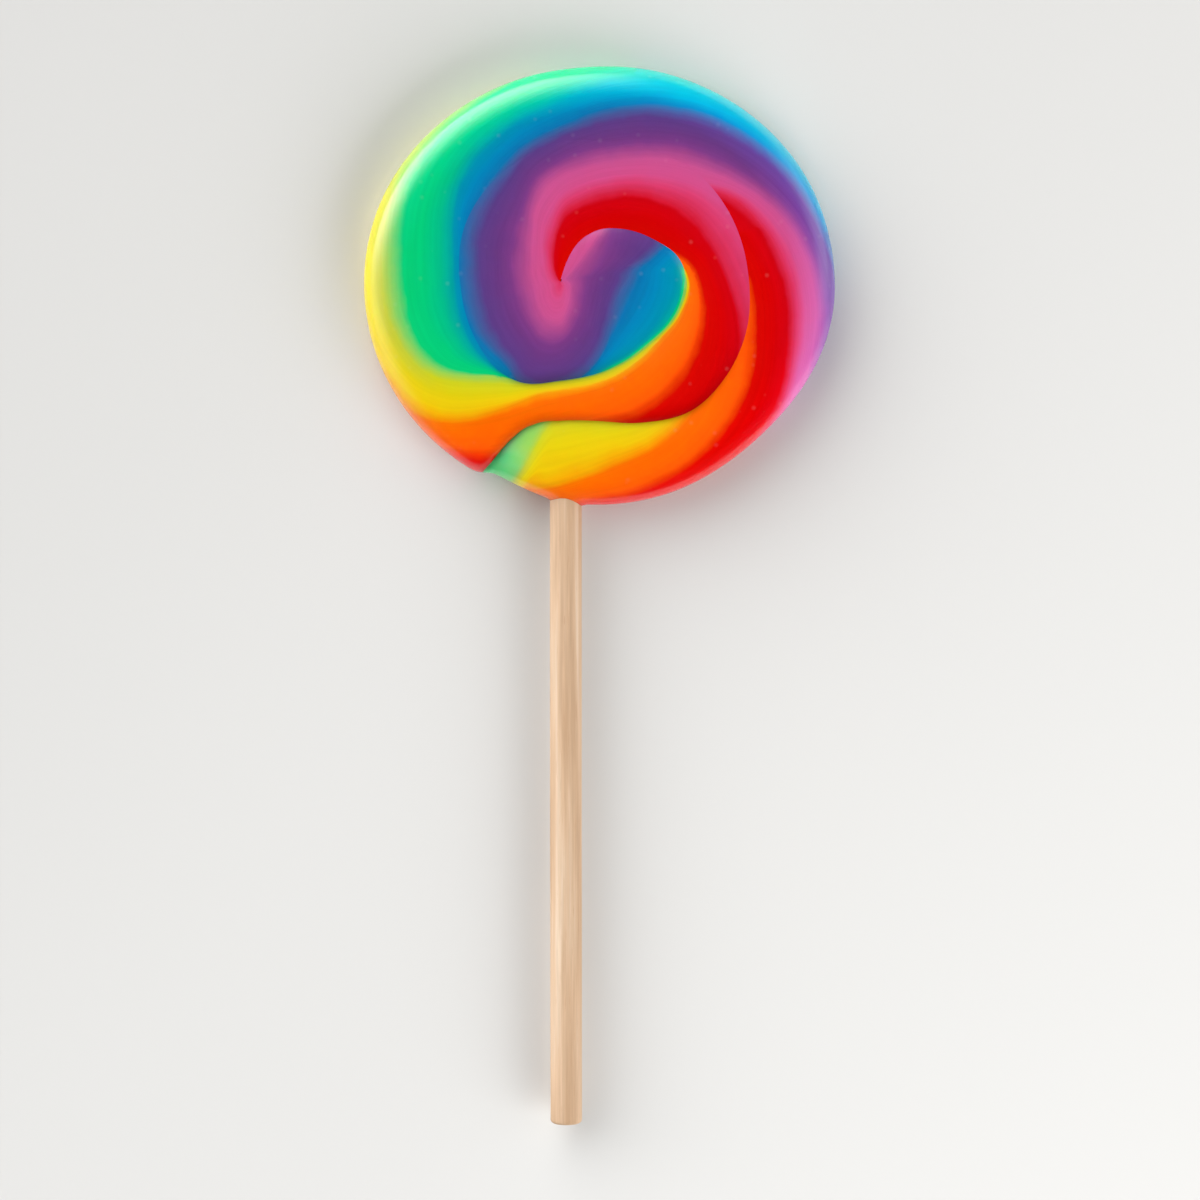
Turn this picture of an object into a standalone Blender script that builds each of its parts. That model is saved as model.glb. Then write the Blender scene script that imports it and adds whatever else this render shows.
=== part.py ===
"""A spiral lollipop lying on its back: a pressed coil of hard candy and the wooden stick in it.

The candy is one rope wound from the notch in the rim to a hook near the middle, pressed flat
while warm. Its turns have fused, and one groove along the rope is all that is left between
them. X runs across the shown face, +Y points away from the stick, +Z out of the shown face.
The origin is the middle of the flat underside. Lengths are in millimetres until mesh_object.
"""

import math

import bmesh
import bpy
import numpy as np
from mathutils.geometry import delaunay_2d_cdt

MM = 0.001

HALF_WIDTH = 44.0        # of the ellipse that the pressed disc nearly fills
HALF_HEIGHT = 41.0
THICKNESS = 10.0
RIM_TOP_ROUND = 5.2      # how far in from the edge the rim's rounding reaches, above
RIM_FOOT_ROUND = 3.6     # and below
MID_HEIGHT = 5.0         # the rim is widest here
DOME = 0.45              # how much lower the shown face is near the rim than in the middle

# Where the edge leaves the ellipse: direction in degrees, spread before and after it, mm outward.
EDGE_WAVES = (
    (10, 14, 14, -0.3),
    (95, 14, 14, -0.3),
    (155, 24, 24, 0.3),
    (318, 26, 26, -1.5),
    (240.5, 3.2, 13.0, -1.35),   # the notch, where the rope's outer end tapers away
)

# The groove between the turns: degrees round the heart of the coil, mm from it, mm deep.
HEART = (-7.8, 1.2)
GROOVE = (
    (247.6, 39.4, 2.0), (251, 33.0, 1.6), (255, 29.0, 1.2), (260, 27.0, 1.0), (270, 26.0, 0.95),
    (285, 27.0, 0.95), (300, 30.5, 0.85), (315, 34.3, 0.6), (330, 35.6, 0.4), (345, 35.8, 0.28),
    (360, 35.0, 0.22), (380, 33.9, 0.18), (398, 32.3, 0.15), (420, 28.6, 0.13), (450, 25.6, 0.12),
    (478, 22.8, 0.12), (509, 20.5, 0.14), (544, 18.5, 0.2), (574, 19.0, 0.35), (598, 20.2, 0.55),
    (607, 20.2, 0.65), (630, 18.5, 0.7), (660, 18.8, 0.75), (685, 20.3, 0.75), (705, 22.6, 0.65),
    (720, 23.4, 0.65), (732, 22.2, 0.7), (743, 19.2, 0.75), (760, 15.0, 0.65), (776, 11.0, 0.45),
    (788, 6.4, 0.25), (797, 0.0, 0.0),
)
GROOVE_REACH = (2.6, 6.5)    # how far in from the groove, and out, the turns curve down to it
FOOT_GROOVE = 0.32       # the underside's grooves, as a share of the shown face's
FOOT_GROOVE_REACH = (1.6, 1.6)

STICK_RADIUS = 3.0
STICK_LENGTH = 150.0
STICK_X = -6.6
STICK_TOP_Y = -8.5       # the end inside the candy
STICK_ROUND = 0.7
SOCKET_GAP = 0.3
SOCKET_SIDES = 40

EDGE_POINTS = 176
TOP_RINGS = (0.0, 0.16, 0.62, 1.35, 2.3, 3.4, 4.6)   # mm in from the edge
FOOT_RINGS = (0.0, 0.25, 0.95, 2.0, 3.3)
TOP_SPACING = 1.75
FOOT_SPACING = 2.6
GROOVE_STEP = 1.5
GROOVE_ROWS = (0.0, 0.75, 1.7)


def clear_scene():
    for obj in list(bpy.data.objects):
        bpy.data.objects.remove(obj, do_unlink=True)


def curve_through(knots, column):
    """A smooth function of the first column that passes through another column's values."""
    at = np.array([k[0] for k in knots], float)
    value = np.array([k[column] for k in knots], float)
    gap = np.diff(at)
    rise = np.diff(value) / gap
    slope = np.empty_like(value)
    slope[0], slope[-1] = rise[0], rise[-1]
    slope[1:-1] = (rise[:-1] * gap[1:] + rise[1:] * gap[:-1]) / (gap[1:] + gap[:-1])

    def at_turn(turn):
        turn = np.clip(turn, at[0], at[-1])
        i = np.clip(np.searchsorted(at, turn) - 1, 0, len(at) - 2)
        u = (turn - at[i]) / gap[i]
        start = (1 + 2 * u) * (1 - u) ** 2 * value[i] + u * (1 - u) ** 2 * gap[i] * slope[i]
        end = u * u * (3 - 2 * u) * value[i + 1] + u * u * (u - 1) * gap[i] * slope[i + 1]
        return start + end

    return at_turn


def edge_radius(direction):
    """Distance from the disc's middle to its edge, in each direction given in degrees."""
    a = np.radians(direction)
    radius = HALF_WIDTH * HALF_HEIGHT / np.hypot(HALF_HEIGHT * np.cos(a), HALF_WIDTH * np.sin(a))
    for middle, before, after, height in EDGE_WAVES:
        off = (direction - middle + 180) % 360 - 180
        spread = np.where(off < 0, before, after)
        radius = radius + height * np.exp(-((off / spread) ** 2))
    return radius


def edge_ring(inset, count, phase=0.0):
    """Points at one distance in from the edge. They crowd a little towards the notch."""
    even = (np.arange(count) + phase) * 360 / count
    direction = even - 7 * np.sin(np.radians(even - 241))
    radius = edge_radius(direction)
    near = np.radians(direction)
    ring = np.stack([radius * np.cos(near), radius * np.sin(near)], axis=1)
    along = np.roll(ring, -1, axis=0) - np.roll(ring, 1, axis=0)
    inward = np.stack([-along[:, 1], along[:, 0]], axis=1)
    return ring + inset * inward / np.linalg.norm(inward, axis=1, keepdims=True)


def groove_line(step):
    """Points along the groove at even steps, the sideways direction and the depth at each."""
    radius, depth = curve_through(GROOVE, 1), curve_through(GROOVE, 2)
    turn = np.linspace(GROOVE[0][0], GROOVE[-1][0], 4000)
    a = np.radians(turn)
    line = np.stack([HEART[0] + radius(turn) * np.cos(a), HEART[1] + radius(turn) * np.sin(a)], 1)
    run = np.concatenate([[0], np.cumsum(np.linalg.norm(np.diff(line, axis=0), axis=1))])
    even = np.linspace(0, run[-1], int(run[-1] / step) + 1)
    points = np.stack([np.interp(even, run, line[:, 0]), np.interp(even, run, line[:, 1])], axis=1)
    along = np.gradient(points, axis=0)
    along /= np.linalg.norm(along, axis=1, keepdims=True)
    sideways = np.stack([-along[:, 1], along[:, 0]], axis=1)
    return points, sideways, np.maximum(depth(np.interp(even, run, turn)), 0)


def edge_distance(points):
    """Roughly how far each point is in from the edge."""
    direction = np.degrees(np.arctan2(points[:, 1], points[:, 0])) % 360
    return edge_radius(direction) - np.hypot(points[:, 0], points[:, 1])


def groove_drop(points, reach):
    """How far the face is pressed down at each point by the nearest stretch of the groove.

    The turn inside the groove ends steeply, and the one outside it rises from it gently.
    """
    line, sideways, depth = groove_line(0.4)
    drop = np.zeros(len(points))
    for start in range(0, len(points), 400):
        away = points[start:start + 400, None] - line[None]
        inside = (away * sideways[None]).sum(axis=2) > 0
        near = np.linalg.norm(away, axis=2) / np.where(inside, reach[0], reach[1])
        fall = np.clip(1 - near, 0, 1) ** np.where(inside, 2.0, 1.6) * depth[None]
        drop[start:start + 400] = fall.max(axis=1)
    return drop


def rounding(inset, reach):
    """0 at the edge and 1 past the rim's rounding, along a quarter of an ellipse."""
    return np.sqrt(1 - (1 - np.clip(inset / reach, 0, 1)) ** 2)


def top_height(points, inset):
    face = THICKNESS - DOME * np.clip(1 - inset / 30, 0, 1) ** 2
    height = MID_HEIGHT + (face - MID_HEIGHT) * rounding(inset, RIM_TOP_ROUND)
    return height - groove_drop(points, GROOVE_REACH) * rounding(inset, RIM_TOP_ROUND)


def foot_height(points, inset):
    height = MID_HEIGHT * (1 - rounding(inset, RIM_FOOT_ROUND))
    rise = FOOT_GROOVE * groove_drop(points, FOOT_GROOVE_REACH)
    return height + rise * rounding(inset, RIM_FOOT_ROUND)


def keep_apart(kept, more, apart):
    """Adds those points that aren't too near one already kept."""
    kept = list(kept)
    for point in more:
        near = np.linalg.norm(np.array(kept) - point, axis=1)
        if near.min() >= apart:
            kept.append(point)
    return kept


def lattice(spacing):
    rows = []
    for j, y in enumerate(np.arange(-HALF_HEIGHT, HALF_HEIGHT, spacing * math.sqrt(3) / 2)):
        for x in np.arange(-HALF_WIDTH, HALF_WIDTH, spacing):
            rows.append((x + spacing / 2 * (j % 2), y))
    return np.array(rows)


def face_mesh(rings, spacing, rows, height_of):
    """One face of the disc: (points with heights, triangles). Its edge ring comes first."""
    points, inset = [], []
    for i, ring in enumerate(rings):
        for point in edge_ring(ring, EDGE_POINTS, 0.5 * (i % 2)):
            points.append(point)
            inset.append(ring)
    edges = [(i, (i + 1) % EDGE_POINTS) for i in range(EDGE_POINTS)]
    line, sideways, _ = groove_line(GROOVE_STEP)
    line, sideways = line[edge_distance(line) > 0.9], sideways[edge_distance(line) > 0.9]
    points = [p for p, d in zip(points, inset) if d == 0
              or np.linalg.norm(line - p, axis=1).min() > 0.45]
    inset = inset[:EDGE_POINTS]
    first = len(points)
    points += list(line)
    edges += [(i, i + 1) for i in range(first, len(points) - 1)]
    inner = rings[-1] + 0.4 * spacing
    for row in rows[1:]:
        for side in (-row, row):
            beside = line + side * sideways
            points = keep_apart(points, beside[edge_distance(beside) > inner], 0.62 * rows[1])
    fill = lattice(spacing)
    points = keep_apart(points, fill[edge_distance(fill) > inner], 0.72 * spacing)
    flat = [(float(x), float(y)) for x, y in points]
    found, _, triangles, _, _, _ = delaunay_2d_cdt(flat, edges, [], 1, 1e-6)
    found = np.array([(v[0], v[1]) for v in found])
    depth_in = edge_distance(found)
    depth_in[:EDGE_POINTS] = 0
    return np.column_stack([found, height_of(found, np.maximum(depth_in, 0))]), triangles


def mesh_object(name, points, faces):
    mesh = bpy.data.meshes.new(name)
    mesh.from_pydata([tuple(MM * c for c in p) for p in points], [], faces)
    work = bmesh.new()
    work.from_mesh(mesh)
    bmesh.ops.remove_doubles(work, verts=work.verts, dist=1e-3 * MM)
    bmesh.ops.recalc_face_normals(work, faces=work.faces)
    work.to_mesh(mesh)
    work.free()
    obj = bpy.data.objects.new(name, mesh)
    bpy.context.scene.collection.objects.link(obj)
    return obj


def rod(name, radius, low_y, high_y, sides, rounded):
    """A bar along Y at the stick's place, with both of its ends rounded or both square."""
    turns = [math.radians(90 * k / 3) for k in range(4)] if rounded else [math.radians(90)]
    profile = [(low_y + rounded * (1 - math.sin(a)), radius - rounded * (1 - math.cos(a)))
               for a in reversed(turns)]
    if rounded:
        profile += [(high_y - rounded * (1 - math.sin(a)), radius - rounded * (1 - math.cos(a)))
                    for a in turns]
    else:
        profile = [(low_y, radius), (high_y, radius)]
    points = []
    for y, r in profile:
        for k in range(sides):
            a = 2 * math.pi * k / sides
            points.append((STICK_X + r * math.cos(a), y, MID_HEIGHT + r * math.sin(a)))
    faces = [tuple(range(sides)), tuple(range(len(points) - sides, len(points)))]
    for ring in range(len(profile) - 1):
        for k in range(sides):
            a, b = ring * sides + k, ring * sides + (k + 1) % sides
            faces.append((a, b, b + sides, a + sides))
    return mesh_object(name, points, faces)


def material(name, colour, roughness):
    made = bpy.data.materials.new(name)
    made.use_nodes = True
    shader = made.node_tree.nodes["Principled BSDF"]
    shader.inputs["Base Color"].default_value = (*colour, 1)
    shader.inputs["Roughness"].default_value = roughness
    return made


def candy():
    top, top_faces = face_mesh(TOP_RINGS, TOP_SPACING, GROOVE_ROWS, top_height)
    foot, foot_faces = face_mesh(FOOT_RINGS, FOOT_SPACING, (0.0, 0.8), foot_height)
    count = len(top)
    faces = [tuple(f) for f in top_faces] + [tuple(count + i for i in reversed(f)) for f in foot_faces]
    disc = mesh_object("candy", np.concatenate([top, foot]), faces)
    cutter = rod("socket_cutter", STICK_RADIUS + SOCKET_GAP, -60.0, STICK_TOP_Y + SOCKET_GAP,
                 SOCKET_SIDES, 0.0)
    cutter.hide_render = True
    cutter.hide_viewport = True
    cut = disc.modifiers.new("socket", "BOOLEAN")
    cut.operation = "DIFFERENCE"
    cut.solver = "EXACT"
    cut.object = cutter
    disc.data.materials.append(material("candy", (0.55, 0.03, 0.05), 0.12))
    return disc


def stick():
    dowel = rod("stick", STICK_RADIUS, STICK_TOP_Y - STICK_LENGTH, STICK_TOP_Y, 32, STICK_ROUND)
    dowel.data.materials.append(material("stick", (0.72, 0.50, 0.30), 0.6))
    return dowel


clear_scene()
candy()
stick()
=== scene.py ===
"""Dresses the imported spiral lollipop: glossy banded hard candy on a birch stick, lying flat.

The candy is one rope of rainbow-striped sugar, wound from a notch in the rim to a hook near the
middle and pressed. Its surface is described in the rope's own terms: a point's turn, in degrees
round the heart of the coil counted on from the rope's outer end, and its distance from the heart.
The groove between the turns and the borders between the colours are smooth curves of the turn.
Shapes are worked out in millimetres in the frame of the CAD, and mesh_piece turns them to metres.
"""

import math

import bpy
import numpy as np
from mathutils import Matrix, Vector, kdtree
from mathutils.geometry import delaunay_2d_cdt


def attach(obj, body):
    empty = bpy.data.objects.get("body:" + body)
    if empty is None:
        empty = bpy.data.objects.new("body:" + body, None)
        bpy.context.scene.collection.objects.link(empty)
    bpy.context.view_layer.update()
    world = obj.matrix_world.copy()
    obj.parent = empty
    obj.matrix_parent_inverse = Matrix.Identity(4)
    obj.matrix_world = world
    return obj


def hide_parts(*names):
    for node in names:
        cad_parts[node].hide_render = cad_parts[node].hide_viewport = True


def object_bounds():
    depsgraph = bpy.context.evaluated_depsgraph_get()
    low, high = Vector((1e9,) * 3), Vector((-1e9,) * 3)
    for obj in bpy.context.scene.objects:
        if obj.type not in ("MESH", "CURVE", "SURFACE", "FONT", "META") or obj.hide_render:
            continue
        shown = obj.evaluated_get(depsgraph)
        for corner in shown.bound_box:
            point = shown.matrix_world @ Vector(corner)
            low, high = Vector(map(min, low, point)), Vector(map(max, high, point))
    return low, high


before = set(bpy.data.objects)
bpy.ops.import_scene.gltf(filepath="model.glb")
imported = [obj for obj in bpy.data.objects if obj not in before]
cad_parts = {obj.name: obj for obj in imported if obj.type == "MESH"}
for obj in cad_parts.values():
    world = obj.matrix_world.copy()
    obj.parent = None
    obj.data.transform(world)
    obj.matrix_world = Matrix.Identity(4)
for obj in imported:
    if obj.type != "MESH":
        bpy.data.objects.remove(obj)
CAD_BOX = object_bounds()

MM = 0.001

# The candy's form, as in the CAD.
HALF_WIDTH = 44.0
HALF_HEIGHT = 41.0
THICKNESS = 10.0
RIM_TOP_ROUND = 5.2
RIM_FOOT_ROUND = 3.6
MID_HEIGHT = 5.0
DOME = 0.45              # how much lower the shown face is near the rim than in the middle
DOME_REACH = 30.0

# Where the edge leaves its ellipse: direction in degrees, spread before and after it, mm outward.
EDGE_WAVES = (
    (10, 14, 14, -0.3),
    (95, 14, 14, -0.3),
    (155, 24, 24, 0.3),
    (318, 26, 26, -1.5),
    (240.5, 3.2, 13.0, -1.35),   # the notch, where the rope's outer end tapers away
)
CROWDED_DIRECTION = 241  # where the edge's points lie closest together, by the notch
CROWDING = 7             # degrees by which they are drawn towards it

# The groove between the turns: turn in degrees, mm from the heart, mm deep.
HEART = (-7.8, 1.2)
GROOVE = (
    (247.6, 39.4, 2.0), (251, 33.0, 1.6), (255, 29.0, 1.2), (260, 27.0, 1.0), (270, 26.0, 0.95),
    (285, 27.0, 0.95), (300, 30.5, 0.85), (315, 34.3, 0.6), (330, 35.6, 0.4), (345, 35.8, 0.28),
    (360, 35.0, 0.22), (380, 33.9, 0.18), (398, 32.3, 0.15), (420, 28.6, 0.13), (450, 25.6, 0.12),
    (478, 22.8, 0.12), (509, 20.5, 0.14), (544, 18.5, 0.2), (574, 19.0, 0.35), (598, 20.2, 0.55),
    (607, 20.2, 0.65), (630, 18.5, 0.7), (660, 18.8, 0.75), (685, 20.3, 0.75), (705, 22.6, 0.65),
    (720, 23.4, 0.65), (732, 22.2, 0.7), (743, 19.2, 0.75), (760, 15.0, 0.65), (776, 11.0, 0.45),
    (788, 6.4, 0.25), (797, 0.0, 0.0),
)
FIRST_TURN, LAST_TURN = GROOVE[0][0], GROOVE[-1][0]
# How far its sides reach, on the coil's inner side, where the turn above ends steeply, and on its
# outer side, and the power by which each falls towards it.
GROOVE_REACH = (2.6, 6.5)
GROOVE_FALL = (2, 1.6)
CREASE_SHARE = 0.4       # of a deep groove's depth, how much is in the narrow crease at its bottom
CREASE_FALL = 9
CREASE_FROM, CREASE_FULL = 0.4, 1.0   # mm of depth at which the crease starts and is all there
FOOT_GROOVE = 0.32
FOOT_GROOVE_REACH = (1.6, 1.6)

# The borders between the rope's stripes: at each turn, mm from the heart. The first is between
# green and yellow, and the stripes' order outward is red, pink, purple, blue, green, yellow and
# orange.
FIRST_BORDER = 4.5
BORDERS = (
    ((247.6, 24), (275, 22), (300, 26.5), (313, 28.5), (330, 24), (345, 20)),
    ((247.6, 45), (258, 39.6), (266, 38.4), (276, 36.5), (285, 35.3), (300, 34.9), (313, 33.8),
     (330, 30)),
    ((247.6, 48), (262, 43), (275, 41.2), (285, 41.4), (300, 41.5), (315, 41), (330, 39.5),
     (345, 37), (360, 34.6), (375, 31)),
    ((262, 50), (300, 48.6), (317, 48.0), (330, 47.1), (345, 44.5), (360, 42.1), (370, 40),
     (378, 37.8), (384, 36), (389, 33.6), (396, 28), (404, 22)),
    ((300, 53), (337, 49.9), (360, 47.3), (375, 43.4), (390, 37.3), (405, 31.8), (420, 26.5),
     (435, 22.8), (450, 20.3), (465, 16.8), (480, 11)),
    ((337, 56), (370, 49.9), (390, 45.6), (405, 41.4), (420, 36.6), (435, 31.8), (450, 27.7),
     (465, 25), (480, 22.4), (495, 20.4), (510, 19), (525, 17), (540, 16.3), (555, 16.3),
     (570, 16.8), (585, 17.3), (600, 18.5), (607, 19.5)),
    ((370, 54), (405, 46.4), (417, 43.5), (429, 40.2), (440, 36.9), (450, 34), (465, 31.2),
     (480, 29), (495, 26.5), (510, 23.2), (525, 20.8), (540, 19.9), (555, 20.0), (585, 20.5),
     (607, 20)),
    ((430, 45), (460, 38.7), (476, 36.7), (493, 35.4), (502, 34.7), (511, 33.9), (520, 32.7),
     (530, 31.6), (540, 31.1), (549, 31), (557, 30.5), (567, 29.5), (577, 27.6), (585, 24.6),
     (592, 22.1), (600, 20.6), (607, 20.0), (630, 18.4), (660, 18.9), (685, 20.4), (705, 22.7),
     (720, 23.4), (732, 22.2)),
    ((480, 44), (540, 40.3), (570, 37.4), (580, 36.2), (588, 34.3), (595, 31), (601, 28),
     (608, 25), (615, 22.5), (622, 21), (630, 20.4), (645, 20.2), (660, 20.5), (675, 20.8),
     (690, 21.5), (705, 23.1), (720, 23.8), (726, 23.0), (732, 21.0)),
    ((540, 50), (570, 45), (585, 41.5), (592, 39.3), (600, 36.8), (609, 34.2), (615, 32.5),
     (625, 29.5), (640, 27.2), (650, 27.2), (660, 27.7), (675, 28), (690, 27.8), (705, 26.8),
     (720, 25.2), (728, 23.6), (736, 20), (750, 14)),
    ((607, 45), (660, 41), (695, 37.6), (705, 35.4), (713, 33.2), (722, 31.2), (735, 29),
     (750, 26.9), (765, 23), (780, 19), (795, 15.3), (810, 11.5), (817, 8.3), (830, 4.6),
     (842, 2.2), (860, 0.6), (880, -0.3), (900, -0.8), (980, -0.9), (1060, -0.9), (1078, -1.3),
     (1090, -3), (1100, -7), (1115, -17), (1126, -30), (1157, -60)),
    ((660, 50), (720, 47.3), (735, 43.4), (750, 37.3), (765, 31.8), (780, 26.5), (795, 22.7),
     (810, 20.0), (825, 16.3), (840, 10.9), (855, 8.2), (870, 6.8), (885, 6.1), (900, 5.5),
     (915, 5.3), (930, 5.6), (945, 6.3), (960, 7.3), (975, 8.2), (990, 7.9), (1005, 5.4),
     (1020, 3.9), (1035, 2.9), (1050, 2.4), (1065, 2.1), (1080, 1.7), (1095, 1.3), (1110, 1.6),
     (1120, 4.0), (1125, 6.8), (1128, 9.5), (1133, 18), (1157, 30)),
    ((730, 49), (750, 45), (765, 41), (780, 36.5), (795, 31.8), (810, 27.7), (825, 25),
     (840, 22.4), (855, 20.4), (870, 19), (885, 17), (900, 16.3), (915, 16.3), (930, 16.8),
     (945, 17.3), (960, 18.5), (967, 20.2), (980, 20.4), (1000, 18.4), (1020, 15.2),
     (1035, 12.8), (1050, 11.5), (1069, 11.3), (1082, 12.5), (1090, 13.8), (1096, 17.4),
     (1102, 21.5), (1157, 32)),
    ((900, 29), (960, 22.2), (1000, 19.6), (1015, 18.4), (1030, 18.7), (1045, 19.6),
     (1058, 21.1), (1068, 22.0), (1080, 22.6), (1087, 22.9), (1093, 26), (1157, 46)),
    ((900, 32), (960, 24), (1000, 20.7), (1015, 18.9), (1030, 19.2), (1045, 20.1),
     (1058, 21.7), (1068, 22.6), (1080, 23.2), (1087, 23.6), (1093, 28), (1157, 50)),
)
STRIPES = 7
OUTER_STRIPE_WIDTH = 12.0   # mm for one stripe beyond the last border that a turn has
OUTER_STRIPE_MOST = 0.8

# At the rope's outer end its green side turns up: from (turn, mm from the heart) to the same.
TIP_BORDER = ((254.4, 41.0), (259.8, 28.6))
TIP_SOFT = 4.0           # mm to each side of it over which the green fades
TIP_GREEN = 0.07         # how far into the green stripe it goes, as a share of a stripe
TIP_LAST_TURN = 285

# Each stripe's colour at its inner side, middle and outer side, in sRGB, and where the inner
# colour is reached and the outer one left, as shares of the stripe: between them it blends.
STRIPE_COLOURS = (
    ((0.82, 0.03, 0.005), (0.815, 0.008, 0.018), (0.80, 0.014, 0.07), 0.14, 0.86),  # red
    ((0.83, 0.25, 0.44), (0.81, 0.32, 0.545), (0.78, 0.335, 0.57), 0.25, 0.90),     # pink
    ((0.50, 0.245, 0.53), (0.435, 0.235, 0.515), (0.37, 0.25, 0.53), 0.32, 0.82),   # purple
    ((0.05, 0.46, 0.68), (0.012, 0.535, 0.725), (0.004, 0.575, 0.685), 0.18, 0.84), # blue
    ((0.015, 0.73, 0.55), (0.016, 0.785, 0.49), (0.03, 0.79, 0.47), 0.20, 0.82),    # green
    ((0.79, 0.80, 0.13), (0.86, 0.79, 0.06), (0.90, 0.76, 0.05), 0.20, 0.78),       # yellow
    ((0.93, 0.43, 0.01), (0.96, 0.41, 0.012), (0.97, 0.37, 0.03), 0.16, 0.88),      # orange
)

# The same for the rim, lighter as painted light standing in for the light the rounded rim catches:
# all of it up to the first distance in from the edge, in mm, and none of it past the second.
LIT_RIM_COLOURS = (
    ((0.88, 0.03, 0.005), (0.88, 0.008, 0.015), (0.88, 0.02, 0.08), 0.14, 0.86),    # red
    ((0.88, 0.34, 0.56), (0.86, 0.42, 0.68), (0.83, 0.42, 0.70), 0.24, 0.92),       # pink
    ((0.60, 0.33, 0.67), (0.51, 0.28, 0.64), (0.45, 0.30, 0.65), 0.32, 0.82),       # purple
    ((0.03, 0.60, 0.82), (0.004, 0.72, 0.85), (0.004, 0.77, 0.84), 0.18, 0.84),     # blue
    ((0.015, 0.80, 0.69), (0.02, 0.815, 0.58), (0.03, 0.80, 0.54), 0.20, 0.86),     # green
    ((0.73, 0.76, 0.27), (0.86, 0.80, 0.10), (0.90, 0.78, 0.05), 0.20, 0.78),       # yellow
    ((0.94, 0.47, 0.01), (0.96, 0.43, 0.012), (0.97, 0.38, 0.03), 0.16, 0.88),      # orange
)
LIT_RIM_REACH = (3.0, 8.0)

# Painted shade in the groove between the turns, a browner darkening: how far it shows inside the
# groove and outside, its tint, and how strong it is at each turn.
SEAM_SHADE_REACH = (3.0, 1.3)
SEAM_SHADE_TINT = (0.66, 0.53, 0.42)
SEAM_SHADE = ((247.6, 0.8), (258, 0.55), (270, 0.5), (290, 0.4), (315, 0.6), (330, 0.3), (345, 0),
        (585, 0), (600, 0.35), (612, 0.55), (640, 0.5), (660, 0.2), (675, 0), (797, 0))

BORDER_WANDER = 0.09     # of a stripe, how far its borders stray to each side
SPECK_SHARE = 0.032      # how strongly a bubble under the surface shows
SPECK_COLOUR = (1.0, 0.85, 0.8, 1)
CANDY_SHADER = {
    "IOR": 1.5, "Coat Weight": 0.5, "Coat Roughness": 0.08,
    "Subsurface Weight": 0.85, "Subsurface Radius": (1.0, 0.75, 0.65), "Subsurface Scale": 0.0025,
}

STICK_RADIUS = 3.0
STICK_LENGTH = 150.0
STICK_X = -6.6
STICK_TOP_Y = -8.5
STICK_ROUND = 0.7
STICK_SIDES = 72
STICK_BENDS = 6          # rings round the rounding of an end
STICK_RINGS = 140        # and along the sides
STICK_END_RADII = (0.0, 0.9, 1.7)
STICK_WOBBLE = 0.012     # of the radius, how far the sides fall short of true at most
COLLAR_REACH = 0.7       # how far from the stick the candy's lip round it dies away
COLLAR_LIP = 0.35        # and how far it stands out along the stick
COLLAR_FALL = 1.3
COLLAR_BELOW = -0.8 * HALF_HEIGHT    # the lip is on the rim below this alone

# The wood's grain, as places on a ramp and their colours in sRGB.
WOOD_TONES = ((0.3, (0.70, 0.565, 0.435)), (0.55, (0.785, 0.66, 0.54)), (0.75, (0.84, 0.75, 0.65)))
PORE_COLOUR = (0.62, 0.46, 0.32)
FLOOR_TONES = ((0.3, (0.63, 0.625, 0.61)), (0.7, (0.66, 0.655, 0.64)))
FLOOR_REACH = 3.0        # metres from its middle to each side

# How finely the meshes are made, in mm: rings in from the edge, rows beside the groove, the fill.
EDGE_POINTS = 520
TOP_RINGS = (0.0, 0.03, 0.1, 0.22, 0.38, 0.6, 0.86, 1.18, 1.54, 1.95, 2.4, 2.9, 3.45, 4.05, 4.7)
FOOT_RINGS = (0.0, 0.04, 0.14, 0.3, 0.52, 0.8, 1.15, 1.6, 2.1, 2.7, 3.4)
TOP_SPACING = 0.46
FOOT_SPACING = 0.9
GROOVE_STEP = 0.45
TOP_ROWS = (0.14, 0.32, 0.56, 0.88, 1.3)
FOOT_ROWS = (0.2, 0.5, 0.9)
GROOVE_FROM_EDGE = 0.25  # where the groove's own line of points ends
RINGS_FROM_GROOVE = 0.3
ROWS_APART = 0.13
INNER_MARGIN = 0.3       # of the fill's spacing, how far inside the last ring the rows start
ROW_STEP = 0.6           # of the groove's step, the least between a row's points
FILL_CLEAR = 0.7         # of the fill's spacing, the least from it to the rows and rings
EDGE_SAMPLES = 2880
GROOVE_SAMPLES = 6000
DROP_STEP = 0.25         # along the groove, where its depth is read
POINTS_AT_ONCE = 1000

# The studio's windows: azimuth, the cosines off it at which one is gone and at which it is full,
# its strength, and how that fades with height.
WINDOWS = (
    (129, 0.56, 1.0, 6.2, ((0.0, 1.0), (0.3, 0.97), (0.5, 0.8), (0.64, 0.57), (0.8, 0.29),
                           (0.9, 0.1), (0.98, 0.0))),
    (184, 0.7, 1.0, 1.4, ((0.0, 1.0), (0.5, 0.8), (0.9, 0.0))),
    (12, 0.87, 1.0, 1.9, ((0.0, 1.0), (0.5, 0.8), (0.9, 0.0))),
    (0, -1.0, -0.99, 0.07, ((0.0, 1.0), (0.4, 0.7), (0.75, 0.0))),
)

# The fill light: its power and size, and where it stands.
FILL_WATTS = 17.0
FILL_SIZE = (1.3, 0.8)
FILL_AZIMUTH, FILL_RISE, FILL_AWAY = -48, 27, 1.2

SENSOR_WIDTH = 36.0
CAMERA_AWAY = 1.1
CAMERA_LEAN = 7.0        # degrees from straight down, towards the top of the disc
CAMERA_SIDE = -3.0       # and to the left
FRAME_SHARE = 0.88       # of the frame's height, how much the lollipop fills


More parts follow.
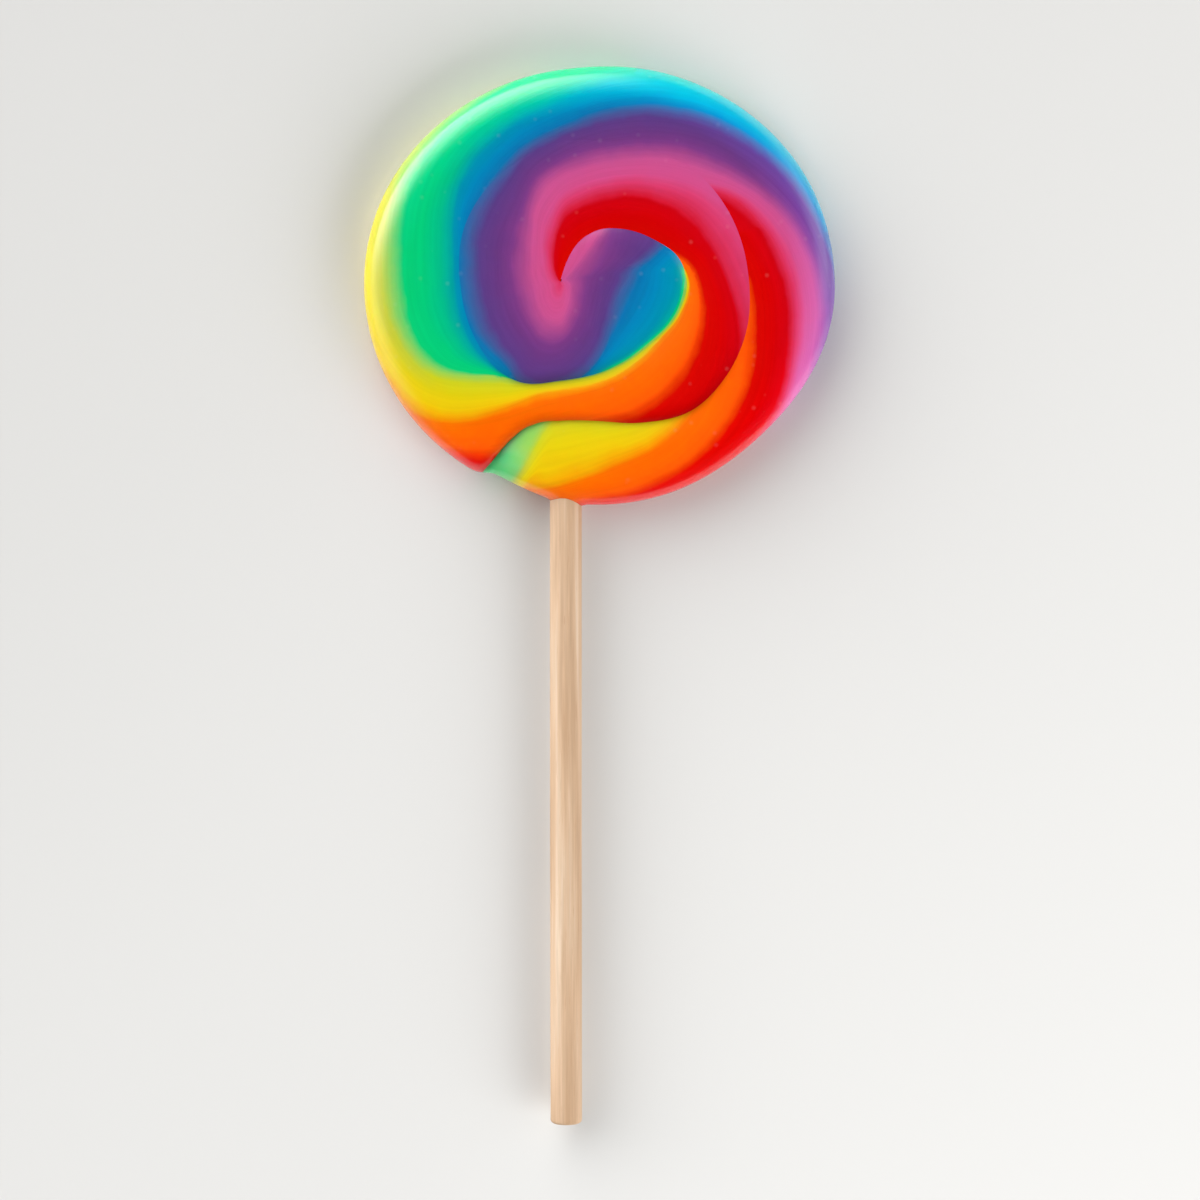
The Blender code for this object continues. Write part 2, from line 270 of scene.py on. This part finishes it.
def curve_through(knots, column=1):
    """A smooth function of the first column that passes through another column's values."""
    at = np.array([k[0] for k in knots], float)
    value = np.array([k[column] for k in knots], float)
    gap = np.diff(at)
    rise = np.diff(value) / gap
    slope = np.empty_like(value)
    slope[0], slope[-1] = rise[0], rise[-1]
    slope[1:-1] = (rise[:-1] * gap[1:] + rise[1:] * gap[:-1]) / (gap[1:] + gap[:-1])

    def at_turn(turn):
        turn = np.clip(turn, at[0], at[-1])
        i = np.clip(np.searchsorted(at, turn) - 1, 0, len(at) - 2)
        u = (turn - at[i]) / gap[i]
        start = (1 + 2 * u) * (1 - u) ** 2 * value[i] + u * (1 - u) ** 2 * gap[i] * slope[i]
        end = u * u * (3 - 2 * u) * value[i + 1] + u * u * (u - 1) * gap[i] * slope[i + 1]
        return start + end

    return at_turn


GROOVE_RADIUS = curve_through(GROOVE)
GROOVE_DEPTH = curve_through(GROOVE, 2)
BORDER_CURVES = [(b[0][0], b[-1][0], curve_through(b)) for b in BORDERS]


def edge_radius(direction):
    """Distance from the disc's middle to its edge, in each direction given in degrees."""
    a = np.radians(direction)
    radius = HALF_WIDTH * HALF_HEIGHT / np.hypot(HALF_HEIGHT * np.cos(a), HALF_WIDTH * np.sin(a))
    for middle, before, after, height in EDGE_WAVES:
        off = (direction - middle + 180) % 360 - 180
        spread = np.where(off < 0, before, after)
        radius = radius + height * np.exp(-((off / spread) ** 2))
    return radius


def edge_distance(points):
    direction = np.degrees(np.arctan2(points[:, 1], points[:, 0])) % 360
    return edge_radius(direction) - np.hypot(points[:, 0], points[:, 1])


def edge_ring(inset, count, phase):
    """Points at one distance in from the edge. They crowd a little towards the notch."""
    even = (np.arange(count) + phase) * 360 / count
    direction = even - CROWDING * np.sin(np.radians(even - CROWDED_DIRECTION))
    radius = edge_radius(direction)
    a = np.radians(direction)
    ring = np.stack([radius * np.cos(a), radius * np.sin(a)], axis=1)
    along = np.roll(ring, -1, axis=0) - np.roll(ring, 1, axis=0)
    inward = np.stack([-along[:, 1], along[:, 0]], axis=1)
    return ring + inset * inward / np.linalg.norm(inward, axis=1, keepdims=True)


def edge_from_heart():
    """The edge's distance from the heart of the coil, as a function of the turn."""
    ring = edge_ring(0.0, EDGE_SAMPLES, 0.0) - np.array(HEART)
    angle = np.degrees(np.arctan2(ring[:, 1], ring[:, 0])) % 360
    order = np.argsort(angle)
    angle, away = angle[order], np.linalg.norm(ring, axis=1)[order]
    return lambda turn: np.interp(turn % 360, angle, away, period=360)


EDGE_RADIUS_FROM_HEART = edge_from_heart()


def groove_line(step):
    """Points along the groove at even steps, the sideways direction and the turn at each."""
    turn = np.linspace(FIRST_TURN, LAST_TURN, GROOVE_SAMPLES)
    a, radius = np.radians(turn), GROOVE_RADIUS(turn)
    line = np.stack([HEART[0] + radius * np.cos(a), HEART[1] + radius * np.sin(a)], axis=1)
    run = np.concatenate([[0], np.cumsum(np.linalg.norm(np.diff(line, axis=0), axis=1))])
    even = np.linspace(0, run[-1], int(run[-1] / step) + 1)
    points = np.stack([np.interp(even, run, line[:, 0]), np.interp(even, run, line[:, 1])], axis=1)
    along = np.gradient(points, axis=0)
    along /= np.linalg.norm(along, axis=1, keepdims=True)
    sideways = np.stack([-along[:, 1], along[:, 0]], axis=1)
    return points, sideways, np.interp(even, run, turn)


def groove_drop(points, reach, depth_at=GROOVE_DEPTH):
    """How far the face is pressed down at each point by the nearest stretch of the groove."""
    line, sideways, turn = groove_line(DROP_STEP)
    depth = np.maximum(depth_at(turn), 0)
    crease = CREASE_SHARE * np.clip((depth - CREASE_FROM) / (CREASE_FULL - CREASE_FROM), 0, 1)
    drop = np.zeros(len(points))
    for start in range(0, len(points), POINTS_AT_ONCE):
        some = slice(start, start + POINTS_AT_ONCE)
        away = points[some, None] - line[None]
        inner = (away * sideways[None]).sum(axis=2) > 0
        near = np.clip(1 - np.linalg.norm(away, axis=2) / np.where(inner, reach[0], reach[1]), 0, 1)
        steep = (1 - crease) * near ** GROOVE_FALL[0] + crease * near ** CREASE_FALL
        fall = np.where(inner, steep, near ** GROOVE_FALL[1]) * depth[None]
        drop[some] = fall.max(axis=1)
    return drop


def rounding(inset, reach):
    """0 at the edge and 1 past the rim's rounding, along a quarter of an ellipse."""
    return np.sqrt(1 - (1 - np.clip(inset / reach, 0, 1)) ** 2)


def top_height(points, inset):
    face = THICKNESS - DOME * np.clip(1 - inset / DOME_REACH, 0, 1) ** 2
    height = MID_HEIGHT + (face - MID_HEIGHT) * rounding(inset, RIM_TOP_ROUND)
    return height - groove_drop(points, GROOVE_REACH) * rounding(inset, RIM_TOP_ROUND)


def foot_height(points, inset):
    height = MID_HEIGHT * (1 - rounding(inset, RIM_FOOT_ROUND))
    rise = FOOT_GROOVE * groove_drop(points, FOOT_GROOVE_REACH)
    return height + rise * rounding(inset, RIM_FOOT_ROUND)


def groove_at(turn):
    """The groove's distance from the heart: none before the rope starts, 0 past its end."""
    return np.where(turn < FIRST_TURN, 1e6, np.where(turn > LAST_TURN, 0.0, GROOVE_RADIUS(turn)))


def turn_of(points):
    """The turn of the rope that each point lies on, and its distance from the heart."""
    away = points - np.array(HEART)
    radius = np.hypot(away[:, 0], away[:, 1])
    turn = (np.degrees(np.arctan2(away[:, 1], away[:, 0])) - FIRST_TURN) % 360 + FIRST_TURN
    for _ in range(2):
        turn = np.where(radius < groove_at(turn), turn + 360, turn)
    return turn, radius


def stripe_at(turn, radius):
    """Which stripe shows, as a number that rises by 1 for each stripe outward."""
    stripe = np.full(turn.shape, np.nan)
    last_radius = np.full(turn.shape, np.nan)
    for i, (start, end, curve) in enumerate(BORDER_CURVES):
        number = FIRST_BORDER + i
        here = (turn >= start) & (turn <= end)
        border = np.where(here, curve(turn), np.nan)
        first = here & np.isnan(last_radius)
        inner = np.minimum((border - radius) / OUTER_STRIPE_WIDTH, OUTER_STRIPE_MOST)
        stripe = np.where(first & (radius < border), number - inner, stripe)
        width = np.maximum(border - last_radius, 1e-6)
        between = here & ~first & (radius >= last_radius) & (radius < border)
        stripe = np.where(between, number - 1 + (radius - last_radius) / width, stripe)
        outer = np.minimum((radius - border) / OUTER_STRIPE_WIDTH, OUTER_STRIPE_MOST)
        stripe = np.where(here & (radius >= border), number + outer, stripe)
        last_radius = np.where(here, border, last_radius)
    (turn_a, radius_a), (turn_b, radius_b) = TIP_BORDER
    tip_turn = turn_a + (radius - radius_a) * (turn_b - turn_a) / (radius_b - radius_a)
    past = np.clip(np.radians(turn - tip_turn) * radius / TIP_SOFT, -1, 1)
    tip = FIRST_BORDER + np.where(past > 0, past ** 2 * (3 - 2 * past) * (stripe - FIRST_BORDER),
                                  past * TIP_GREEN)
    return np.where(turn < TIP_LAST_TURN, tip, stripe)


def foot_stripe_at(turn, radius):
    """The rope's stripes go on round it, so the underside repeats them back from its outer side."""
    first = turn < FIRST_TURN + 360
    outer = np.where(first, EDGE_RADIUS_FROM_HEART(turn), groove_at(turn - 360))
    return 2 * stripe_at(turn, outer) - stripe_at(turn, radius)


def tree_of(points):
    tree = kdtree.KDTree(len(points))
    for i, (x, y) in enumerate(points):
        tree.insert((x, y, 0), i)
    tree.balance()
    return tree


def clear_of(kept, more, apart):
    """Those of the further points that keep their distance from the kept ones."""
    tree = tree_of(kept)
    return [p for p in more if tree.find((p[0], p[1], 0))[2] >= apart]


def thinned(row, apart):
    kept = [row[0]]
    for point in row[1:]:
        if math.dist(point, kept[-1]) >= apart:
            kept.append(point)
    return kept


def lattice(spacing):
    rows = []
    for j, y in enumerate(np.arange(-HALF_HEIGHT, HALF_HEIGHT, spacing * math.sqrt(3) / 2)):
        for x in np.arange(-HALF_WIDTH, HALF_WIDTH, spacing):
            rows.append((x + spacing / 2 * (j % 2), y))
    return np.array(rows)


def face_sheet(rings, spacing, rows, height_of):
    """One face of the disc: points with heights, the edge ring first, and triangles."""
    line, sideways, _ = groove_line(GROOVE_STEP)
    inside = edge_distance(line) > GROOVE_FROM_EDGE
    line, sideways = line[inside], sideways[inside]
    points = list(edge_ring(0.0, EDGE_POINTS, 0.0))
    for i, inset in enumerate(rings[1:]):
        ring = edge_ring(inset, EDGE_POINTS, 0.5 * ((i + 1) % 2))
        points += clear_of(line, ring, RINGS_FROM_GROOVE)
    edges = [(i, (i + 1) % EDGE_POINTS) for i in range(EDGE_POINTS)]
    first = len(points)
    points += list(line)
    edges += [(i, i + 1) for i in range(first, len(points) - 1)]
    inner = rings[-1] + INNER_MARGIN * spacing
    for row in rows:
        for side in (-row, row):
            beside = line + side * sideways
            beside = thinned(beside[edge_distance(beside) > inner], ROW_STEP * GROOVE_STEP)
            points += clear_of(points, beside, ROWS_APART)
    fill = lattice(spacing)
    points += clear_of(points, fill[edge_distance(fill) > inner], FILL_CLEAR * spacing)
    flat = [(float(x), float(y)) for x, y in points]
    found, _, triangles, _, _, _ = delaunay_2d_cdt(flat, edges, [], 1, 1e-6)
    found = np.array([(v[0], v[1]) for v in found])
    inset = np.maximum(edge_distance(found), 0)
    inset[:EDGE_POINTS] = 0
    return np.column_stack([found, height_of(found, inset)]), np.array(triangles)


def stripes_on(points, triangles, stripe_of):
    """The stripe and the turn at each corner of each triangle, read on the triangle's own turn."""
    corners = points[triangles][:, :, :2]
    middle_turn, _ = turn_of(corners.mean(axis=1))
    away = corners.reshape(-1, 2) - np.array(HEART)
    radius = np.hypot(away[:, 0], away[:, 1])
    angle = np.degrees(np.arctan2(away[:, 1], away[:, 0]))
    near = np.repeat(middle_turn, 3)
    turn = angle + 360 * np.round((near - angle) / 360)
    return stripe_of(turn, radius), turn


def lip_round_stick(points):
    """Draws the rim out along the stick where the soft candy closed round it."""
    away = np.hypot(points[:, 0] - STICK_X, points[:, 2] - MID_HEIGHT) - STICK_RADIUS
    lip = COLLAR_LIP * np.exp(-(np.clip(away, 0, None) / COLLAR_REACH) ** COLLAR_FALL)
    moved = points.copy()
    moved[:, 1] -= np.where(points[:, 1] < COLLAR_BELOW, lip, 0)
    return moved


def mesh_piece(name, points, faces, smooth=True):
    mesh = bpy.data.meshes.new(name)
    mesh.from_pydata((points * MM).tolist(), [], faces.tolist())
    mesh.shade_smooth() if smooth else mesh.shade_flat()
    piece = bpy.data.objects.new(name, mesh)
    bpy.context.scene.collection.objects.link(piece)
    return piece


def corner_values(mesh, name, values):
    layer = mesh.attributes.new(name, "FLOAT", "CORNER")
    layer.data.foreach_set("value", np.asarray(values, np.float32))


def candy_piece():
    top, top_faces = face_sheet(TOP_RINGS, TOP_SPACING, TOP_ROWS, top_height)
    foot, foot_faces = face_sheet(FOOT_RINGS, FOOT_SPACING, FOOT_ROWS, foot_height)
    top_stripe, top_turn = stripes_on(top, top_faces, stripe_at)
    foot_faces = foot_faces[:, ::-1]
    foot_stripe, foot_turn = stripes_on(foot, foot_faces, foot_stripe_at)
    shared = np.arange(len(foot)) + len(top) - EDGE_POINTS
    shared[:EDGE_POINTS] = np.arange(EDGE_POINTS)
    points = lip_round_stick(np.concatenate([top, foot[EDGE_POINTS:]]))
    faces = np.concatenate([top_faces, shared[foot_faces]])
    piece = mesh_piece("candy_disc", points, faces)
    corner_values(piece.data, "stripe", np.concatenate([top_stripe, foot_stripe]))
    corner_values(piece.data, "turn", np.radians(np.concatenate([top_turn, foot_turn])))
    corner_values(piece.data, "inset", np.maximum(edge_distance(points), 0)[faces].reshape(-1))
    # Painted shade: how strongly the colour is darkened beside the groove, at each corner.
    seam = np.clip(groove_drop(points[:, :2], SEAM_SHADE_REACH, curve_through(SEAM_SHADE)), 0, 1)
    corner_values(piece.data, "seam", seam[faces].reshape(-1))
    return piece


def stick_piece():
    """The dowel, turned along Y, with its ends rounded and its sides not quite true."""
    sides = STICK_SIDES
    round_turns = np.radians(np.linspace(0, 90, STICK_BENDS + 1))
    end = np.stack([STICK_ROUND * (1 - np.sin(round_turns)),
                    STICK_RADIUS - STICK_ROUND * (1 - np.cos(round_turns))], axis=1)
    low_y = STICK_TOP_Y - STICK_LENGTH
    profile = [(low_y, r) for r in STICK_END_RADII]
    profile += [(low_y + y, r) for y, r in end[::-1]]
    profile += [(y, STICK_RADIUS) for y in np.linspace(low_y + 2, STICK_TOP_Y - 2, STICK_RINGS)]
    profile += [(STICK_TOP_Y - y, r) for y, r in end]
    profile += [(STICK_TOP_Y, r) for r in STICK_END_RADII[::-1]]
    points, faces = [], []
    for y, r in profile:
        if r == 0.0:
            points.append((STICK_X, y, MID_HEIGHT))
            continue
        for k in range(sides):
            a = 2 * math.pi * k / sides
            wave = (1 + math.sin(3 * a + 0.05 * y) * math.sin(0.11 * y)) / 2
            true = r * (1 - STICK_WOBBLE * wave)
            points.append((STICK_X + true * math.cos(a), y, MID_HEIGHT + true * math.sin(a)))
    last = len(points) - 1
    faces += [(0, 1 + k, 1 + (k + 1) % sides) for k in range(sides)]
    for ring in range(len(profile) - 3):
        base = 1 + ring * sides
        for k in range(sides):
            a, b = base + k, base + (k + 1) % sides
            faces.append((a, a + sides, b + sides))
            faces.append((a, b + sides, b))
    faces += [(last, last - sides + (k + 1) % sides, last - sides + k) for k in range(sides)]
    return mesh_piece("stick_dowel", np.array(points), np.array(faces))


class Nodes:
    """A material's or a world's nodes: adds nodes and links them in one line each."""

    def __init__(self, owner, last):
        owner.use_nodes = True
        self.owner = owner
        self.tree = owner.node_tree
        self.sockets = self.tree.nodes[last].inputs

    def add(self, kind, values=None, **settings):
        node = self.tree.nodes.new("ShaderNode" + kind)
        for key, value in settings.items():
            setattr(node, key, value)
        for key, value in (values or {}).items():
            self.put(value, node.inputs[key])
        return node

    def put(self, value, socket):
        if isinstance(value, bpy.types.NodeSocket):
            self.tree.links.new(value, socket)
        else:
            socket.default_value = value

    def math(self, operation, *values):
        node = self.add("Math", dict(enumerate(values)), operation=operation)
        return node.outputs[0]

    def spread(self, value, low, high, to_low, to_high):
        node = self.add("MapRange", {0: value, 1: low, 2: high, 3: to_low, 4: to_high})
        return node.outputs[0]

    def mix(self, share, a, b, blend="MIX"):
        node = self.add("Mix", {0: share, 6: a, 7: b}, data_type="RGBA", blend_type=blend)
        return node.outputs[2]

    def noise(self, vector, scale, detail=2.0, roughness=0.5):
        values = {"Vector": vector, "Scale": scale, "Detail": detail, "Roughness": roughness}
        return self.add("TexNoise", values).outputs["Fac"]

    def ramp(self, value, stops):
        node = self.add("ValToRGB", {0: value})
        colours = node.color_ramp.elements
        while len(colours) < len(stops):
            colours.new(1.0)
        for element, (place, colour) in zip(colours, stops):
            element.position = place
            element.color = (*colour, 1)
        return node.outputs[0]


def new_material(name):
    return Nodes(bpy.data.materials.new(name), "Principled BSDF")


def linear(colour):
    return tuple(c / 12.92 if c <= 0.04045 else ((c + 0.055) / 1.055) ** 2.4 for c in colour)


def stripe_stops(colours):
    """The stripes' colours round one turn of the ramp, flat inside and soft at their borders."""
    stops = []
    for i, (inner, middle, outer, reached, left) in enumerate(colours):
        stops.append(((i + reached) / STRIPES, linear(inner)))
        stops.append(((i + 0.5) / STRIPES, linear(middle)))
        stops.append(((i + left) / STRIPES, linear(outer)))
    last, first = np.array(stops[-1][1]), np.array(stops[0][1])
    seam = tuple((last + first) / 2)
    return [(0.0, seam)] + stops + [(1.0, seam)]


def candy_material():
    n = new_material("candy_sugar")
    place = n.add("TexCoord").outputs["Object"]
    stripe = n.add("Attribute", attribute_name="stripe").outputs["Fac"]
    turn = n.add("Attribute", attribute_name="turn").outputs["Fac"]
    wander = n.spread(n.noise(place, 160.0, 3.0), 0.0, 1.0, -BORDER_WANDER, BORDER_WANDER)
    number = n.math("ADD", stripe, wander)
    share = n.math("FRACT", n.math("DIVIDE", n.math("ADD", number, 0.5 + STRIPES), STRIPES))
    inset = n.add("Attribute", attribute_name="inset").outputs["Fac"]
    # Painted light: near the edge the colours blend to the lighter rim colours, for the light the
    # rim catches.
    rim = n.spread(inset, LIT_RIM_REACH[0], LIT_RIM_REACH[1], 1.0, 0.0)
    colour = n.mix(rim, n.ramp(share, stripe_stops(STRIPE_COLOURS)),
                   n.ramp(share, stripe_stops(LIT_RIM_COLOURS)))
    along = n.add("CombineXYZ", {0: n.math("MULTIPLY", stripe, 14.0), 1: turn}).outputs[0]
    streak = n.spread(n.noise(along, 1.0, 3.0), 0.3, 0.7, 0.95, 1.03)
    streaked = n.add("HueSaturation", {"Value": streak, "Color": colour}).outputs[0]
    cells = n.add("TexVoronoi", {"Vector": place, "Scale": 420.0})
    chosen = n.math("GREATER_THAN", n.add("SeparateColor", {0: cells.outputs["Color"]}).outputs[0],
                    0.7)
    speck = n.spread(cells.outputs["Distance"], 0.05, 0.24, SPECK_SHARE, 0.0)
    speck = n.math("MULTIPLY", speck, chosen)
    # Painted shade: the colour is multiplied by a brown tint beside the groove.
    seam = n.add("Attribute", attribute_name="seam").outputs["Fac"]
    streaked = n.mix(seam, streaked, (*linear(SEAM_SHADE_TINT), 1), "MULTIPLY")
    n.put(n.mix(speck, streaked, SPECK_COLOUR), n.sockets["Base Color"])
    n.put(n.spread(n.noise(place, 220.0, 2.0), 0.3, 0.7, 0.15, 0.22), n.sockets["Roughness"])
    for name, value in CANDY_SHADER.items():
        n.put(value, n.sockets[name])
    ripple = n.noise(along, 2.2, 2.0)
    bump = n.add("Bump", {"Strength": 0.12, "Distance": 0.0003, "Height": ripple})
    n.put(bump.outputs[0], n.sockets["Normal"])
    return n.owner


def wood_material():
    n = new_material("birch_wood")
    place = n.add("TexCoord").outputs["Object"]
    drawn = n.add("Mapping", {"Vector": place, "Scale": (1.0, 0.035, 1.0)}).outputs[0]
    fibre = n.noise(drawn, 2600.0, 4.0, 0.6)
    grain = n.noise(drawn, 620.0, 3.0)
    body = n.ramp(grain, [(place_on, linear(tone)) for place_on, tone in WOOD_TONES])
    shade = n.spread(fibre, 0.3, 0.7, 0.9, 1.05)
    colour = n.add("HueSaturation", {"Value": shade, "Color": body}).outputs[0]
    pores = n.spread(n.noise(drawn, 5200.0, 1.0), 0.66, 0.74, 0.0, 0.35)
    n.put(n.mix(pores, colour, (*linear(PORE_COLOUR), 1)), n.sockets["Base Color"])
    n.put(n.spread(fibre, 0.3, 0.7, 0.5, 0.68), n.sockets["Roughness"])
    bump = n.add("Bump", {"Strength": 0.25, "Distance": 0.0001, "Height": fibre})
    n.put(bump.outputs[0], n.sockets["Normal"])
    return n.owner


def floor():
    corners = np.array([(-1, -1, 0), (1, -1, 0), (1, 1, 0), (-1, 1, 0)]) * FLOOR_REACH / MM
    piece = mesh_piece("floor", corners, np.array([(0, 1, 2, 3)]), smooth=False)
    n = new_material("pale_floor")
    place = n.add("TexCoord").outputs["Object"]
    n.put(n.ramp(n.noise(place, 3.0), FLOOR_TONES), n.sockets["Base Color"])
    n.put(0.9, n.sockets["Roughness"])
    piece.data.materials.append(n.owner)


def fill_light():
    """Evens out the side away from the windows. It lights the candy but isn't mirrored in it."""
    data = bpy.data.lights.new("fill_near", "AREA")
    data.shape = "RECTANGLE"
    data.size, data.size_y = FILL_SIZE
    data.energy = FILL_WATTS
    lamp = bpy.data.objects.new("fill_near", data)
    turn, rise = math.radians(FILL_AZIMUTH), math.radians(FILL_RISE)
    toward = Vector((math.cos(rise) * math.cos(turn), math.cos(rise) * math.sin(turn),
                     math.sin(rise)))
    lamp.location = FILL_AWAY * toward
    lamp.rotation_euler = toward.to_track_quat("Z", "Y").to_euler()
    lamp.visible_camera = lamp.visible_glossy = False
    bpy.context.scene.collection.objects.link(lamp)


def lights():
    """A studio whose wide soft windows glow beyond the candy and to its left, with a dark ceiling.

    Each window is a patch of the world: a direction round from +X, how fast it fades to each
    side, and its strength. It fades upward too, so the rim shines and the face stays clear.
    """
    n = Nodes(bpy.data.worlds.new("studio"), "Background")
    sky = n.add("TexCoord").outputs["Generated"]
    height = n.add("SeparateXYZ", {0: sky}).outputs[2]
    level = n.add("VectorMath", {0: sky, 1: (1, 1, 0)}, operation="MULTIPLY").outputs[0]
    level = n.add("VectorMath", {0: level}, operation="NORMALIZE").outputs[0]
    total = 0.0
    for azimuth, none_at, full_at, strength, fade in WINDOWS:
        a = math.radians(azimuth)
        toward = n.add("VectorMath", {0: level, 1: (math.cos(a), math.sin(a), 0)},
                       operation="DOT_PRODUCT").outputs[1]
        across = n.add("MapRange", {0: toward, 1: none_at, 2: full_at, 3: 0.0, 4: strength},
                       interpolation_type="SMOOTHSTEP").outputs[0]
        up = n.ramp(height, [(place, (share, share, share)) for place, share in fade])
        total = n.math("ADD", total, n.math("MULTIPLY", across, up))
    n.put(total, n.sockets["Strength"])
    n.put((1.0, 1.0, 1.0, 1), n.sockets["Color"])
    bpy.context.scene.world = n.owner


def camera():
    low, high = (Vector(corner) for corner in CAD_BOX)
    middle = (low + high) / 2
    lean, side = math.radians(CAMERA_LEAN), math.radians(CAMERA_SIDE)
    away = Vector((math.sin(side), math.sin(lean), math.cos(lean) * math.cos(side))).normalized()
    data = bpy.data.cameras.new("camera")
    data.sensor_width = SENSOR_WIDTH
    height = (high.y - low.y) * math.cos(lean) / FRAME_SHARE
    data.lens = data.sensor_width * CAMERA_AWAY / height
    rig = bpy.data.objects.new("camera", data)
    right = Vector((0, 1, 0)).cross(away).normalized()
    up = away.cross(right)
    turned = Matrix((right, up, away)).transposed().to_4x4()
    rig.matrix_world = Matrix.Translation(middle + CAMERA_AWAY * away) @ turned
    bpy.context.scene.collection.objects.link(rig)
    bpy.context.scene.camera = rig


def dress(piece, node, material):
    piece.data.materials.append(material)
    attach(piece, "root")
    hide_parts(node)


camera()
floor()
lights()
fill_light()
bpy.context.scene.view_settings.view_transform = "Standard"
dress(candy_piece(), "candy", candy_material())
dress(stick_piece(), "stick", wood_material())
